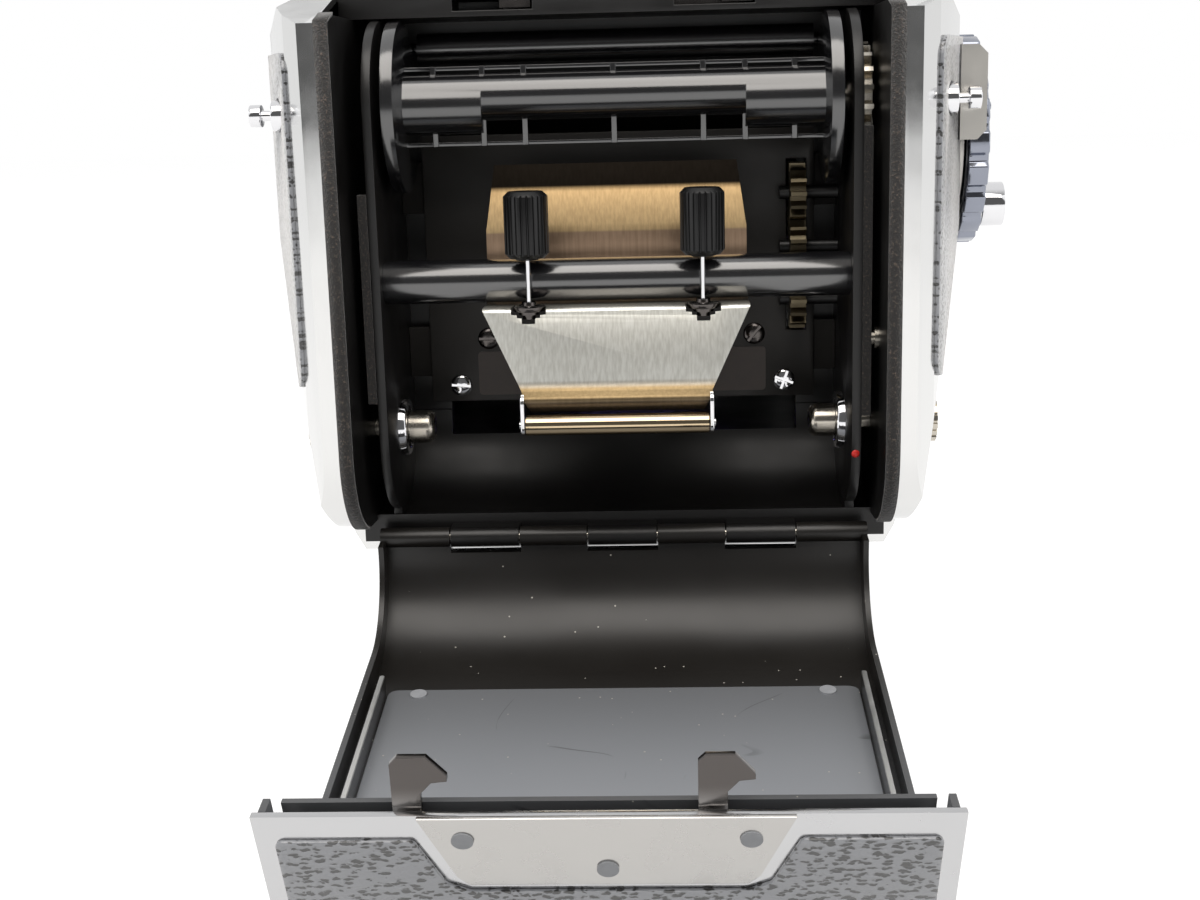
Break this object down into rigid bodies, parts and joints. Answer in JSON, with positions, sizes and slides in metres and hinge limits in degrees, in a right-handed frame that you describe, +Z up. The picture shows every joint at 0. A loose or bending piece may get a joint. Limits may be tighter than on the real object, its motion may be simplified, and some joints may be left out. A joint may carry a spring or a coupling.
{
  "type": "medium format film camera",
  "caption": "Square single-lens reflex film camera with the back door let down, showing spools, guide rod and spring plate; finder hood folded.",
  "frame": {"origin": "mouth of the tripod socket in the base plate, on the camera's centre line", "axes": "+Z up out of the base, +Y out through the lens, +X to the right of someone behind the camera"},
  "size_m": [0.1161, 0.195, 0.1182],
  "materials": {
    "black_enamel": "satin",
    "polished_steel": "polished",
    "black_leather": "pebbled",
    "steel": "turned",
    "satin_steel": "satin",
    "black_felt": "flocked",
    "black_satin": "satin",
    "dark_plate": "matt",
    "black_plastic": "gloss",
    "black_knob": "anodised",
    "chrome": "polished",
    "brushed_steel": "brushed",
    "hook_steel": "blackened",
    "mirror_glass": "silvered",
    "ground_glass": "ground",
    "optical_glass": "polished",
    "brass": "cut"
  },
  "bodies": {
    "camera_body": {"chamber_casting": "black_enamel", "right_side_shell": "polished_steel", "left_side_shell": "polished_steel", "body_leathers": "black_leather", "base_plate": "polished_steel", "tripod_bush": "steel", "right_spool_plate": "black_enamel", "left_spool_plate": "black_enamel", "light_trap_felts": "black_felt", "guide_rod": "black_satin", "chamber_screws": "steel", "pressure_plate": "dark_plate", "wind_knob_seat": "polished_steel", "strap_lugs": "satin_steel", "body_hinge": "black_enamel", "hinge_pin": "steel", "top_plate": "polished_steel", "mirror_box": "black_enamel", "focusing_screen": "ground_glass", "hood_frame": "polished_steel", "front_plate": "polished_steel", "lens_barrel": "satin_steel"},
    "door": {"door_shell": "polished_steel", "door_liner": "black_enamel", "door_leathers": "black_leather", "latch_plate": "polished_steel", "door_rivets": "satin_steel", "door_hooks": "hook_steel"},
    "latch": {"latch_bar": "steel"},
    "winder": {"wind_drive": "steel", "wind_knob": "black_knob"},
    "crank": {"wind_crank": "chrome"},
    "take_up": {"take_up_spool": "black_plastic", "take_up_drive": "steel"},
    "supply_pin_r": {"supply_pin_right": "steel"},
    "supply_pin_l": {"supply_pin_left": "steel"},
    "reset_plunger": {"counter_reset_pin": "steel"},
    "idle_roller": {"film_roller": "black_satin"},
    "tension_plate": {"spring_plate": "brushed_steel"},
    "tension_roll": {"tension_roller": "chrome"},
    "adjuster_l": {"adjuster_left": "black_knob"},
    "adjuster_r": {"adjuster_right": "black_knob"},
    "gear_upper": {"counter_gear_upper": "brass"},
    "gear_middle": {"counter_gear_middle": "brass"},
    "gear_lower": {"counter_gear_lower": "brass"},
    "mirror": {"mirror_carrier": "dark_plate", "reflex_mirror": "mirror_glass"},
    "hood_front": {"hood_lid": "black_satin"},
    "hood_back": {"hood_back_leaf": "black_satin"},
    "hood_left": {"hood_left_leaf": "black_satin"},
    "hood_right": {"hood_right_leaf": "black_satin"},
    "magnifier": {"magnifier_arm": "black_satin", "magnifier_lens": "optical_glass"},
    "focusing": {"focus_ring": "black_knob"},
    "lens_unit": {"lens_sleeve": "black_satin", "front_bezel": "black_satin", "lens_glasses": "optical_glass"},
    "iris_ring": {"aperture_ring": "satin_steel"},
    "release": {"release_button": "chrome"},
    "speed": {"speed_dial": "black_knob"}
  },
  "joints": [
    {"name": "door_hinge", "type": "hinge", "parent": "camera_body", "child": "door", "pos_m": [0, -0.0347, 0.0025], "axis": [1, 0, 0], "range_deg": [-99.1, 0]},
    {"name": "latch_slide", "type": "slide", "parent": "camera_body", "child": "latch", "axis": [1, 0, 0], "range_m": [-0.0025, 0]},
    {"name": "wind_turn", "type": "hinge", "parent": "camera_body", "child": "winder", "pos_m": [0, -0.0156, 0.0599], "axis": [1, 0, 0], "continuous": true},
    {"name": "crank_fold", "type": "hinge", "parent": "winder", "child": "crank", "pos_m": [0.0556, -0.0156, 0.0649], "axis": [0, 1, 0], "range_deg": [-150, 0]},
    {"name": "take_up_turn", "type": "hinge", "parent": "camera_body", "child": "take_up", "pos_m": [0, -0.028, 0.0669], "axis": [1, 0, 0], "continuous": true},
    {"name": "supply_pull_right", "type": "slide", "parent": "camera_body", "child": "supply_pin_r", "axis": [1, 0, 0], "range_m": [0, 0.004], "stiffness_N_per_m": 300},
    {"name": "supply_pull_left", "type": "slide", "parent": "camera_body", "child": "supply_pin_l", "axis": [-1, 0, 0], "range_m": [0, 0.004], "stiffness_N_per_m": 300},
    {"name": "reset_press", "type": "slide", "parent": "camera_body", "child": "reset_plunger", "axis": [-1, 0, 0], "range_m": [0, 0.0008], "stiffness_N_per_m": 100},
    {"name": "idle_roller_turn", "type": "hinge", "parent": "camera_body", "child": "idle_roller", "pos_m": [0, -0.0166, 0.0756], "axis": [1, 0, 0], "continuous": true},
    {"name": "tension_swing", "type": "hinge", "parent": "camera_body", "child": "tension_plate", "pos_m": [0, -0.036, 0.0418], "axis": [1, 0, 0], "range_deg": [-2, 10], "stiffness_Nm_per_rad": 0.05},
    {"name": "tension_roller_turn", "type": "hinge", "parent": "tension_plate", "child": "tension_roll", "pos_m": [0, -0.0454, 0.0219], "axis": [1, 0, 0], "continuous": true},
    {"name": "adjuster_turn_left", "type": "hinge", "parent": "camera_body", "child": "adjuster_l", "pos_m": [-0.0126, -0.04, 0.0418], "axis": [0, 0, 1], "continuous": true},
    {"name": "adjuster_turn_right", "type": "hinge", "parent": "camera_body", "child": "adjuster_r", "pos_m": [0.0126, -0.04, 0.0418], "axis": [0, 0, 1], "continuous": true},
    {"name": "counter_upper_turn", "type": "hinge", "parent": "camera_body", "child": "gear_upper", "pos_m": [0, -0.019, 0.0526], "axis": [1, 0, 0], "continuous": true},
    {"name": "counter_middle_turn", "type": "hinge", "parent": "camera_body", "child": "gear_middle", "pos_m": [0, -0.019, 0.0444], "axis": [1, 0, 0], "continuous": true},
    {"name": "counter_lower_turn", "type": "hinge", "parent": "camera_body", "child": "gear_lower", "pos_m": [0, -0.019, 0.0362], "axis": [1, 0, 0], "continuous": true},
    {"name": "mirror_lift", "type": "hinge", "parent": "camera_body", "child": "mirror", "pos_m": [0, -0.0075, 0.07415], "axis": [1, 0, 0], "range_deg": [0, 45], "stiffness_Nm_per_rad": 0.02},
    {"name": "hood_front_open", "type": "hinge", "parent": "camera_body", "child": "hood_front", "pos_m": [0, 0.044, 0.0911], "axis": [-1, 0, 0], "range_deg": [0, 90]},
    {"name": "hood_back_open", "type": "hinge", "parent": "camera_body", "child": "hood_back", "pos_m": [0, -0.0113, 0.0859], "axis": [1, 0, 0], "range_deg": [0, 90]},
    {"name": "hood_left_open", "type": "hinge", "parent": "camera_body", "child": "hood_left", "pos_m": [-0.0266, 0.0153, 0.087], "axis": [0, -1, 0], "range_deg": [0, 90]},
    {"name": "hood_right_open", "type": "hinge", "parent": "camera_body", "child": "hood_right", "pos_m": [0.0266, 0.0153, 0.087], "axis": [0, 1, 0], "range_deg": [0, 90]},
    {"name": "magnifier_fold", "type": "hinge", "parent": "hood_front", "child": "magnifier", "pos_m": [0, 0.0105, 0.08965], "axis": [1, 0, 0], "range_deg": [0, 90]},
    {"name": "focus_turn", "type": "hinge", "parent": "camera_body", "child": "focusing", "pos_m": [0, 0.045, 0.0425], "axis": [0, 1, 0], "range_deg": [0, 270]},
    {"name": "focus_travel", "type": "slide", "parent": "camera_body", "child": "lens_unit", "axis": [0, 1, 0], "range_m": [0, 0.007]},
    {"name": "aperture_turn", "type": "hinge", "parent": "lens_unit", "child": "iris_ring", "pos_m": [0, 0.045, 0.0425], "axis": [0, 1, 0], "range_deg": [0, 90]},
    {"name": "release_press", "type": "slide", "parent": "camera_body", "child": "release", "axis": [0, -1, 0], "range_m": [0, 0.003], "stiffness_N_per_m": 300},
    {"name": "speed_turn", "type": "hinge", "parent": "camera_body", "child": "speed", "pos_m": [0, 0.008, 0.052], "axis": [1, 0, 0], "range_deg": [0, 300]}
  ],
  "couplings": [
    {"joint": "take_up_turn", "follows": "wind_turn", "ratio": -1},
    {"joint": "counter_middle_turn", "follows": "counter_upper_turn", "ratio": -1},
    {"joint": "counter_lower_turn", "follows": "counter_upper_turn", "ratio": 1},
    {"joint": "hood_back_open", "follows": "hood_front_open", "ratio": 1},
    {"joint": "hood_left_open", "follows": "hood_front_open", "ratio": 1},
    {"joint": "hood_right_open", "follows": "hood_front_open", "ratio": 1},
    {"joint": "magnifier_fold", "follows": "hood_front_open", "ratio": 1},
    {"joint": "focus_turn", "follows": "focus_travel", "rad_per_m": 673.2}
  ]
}
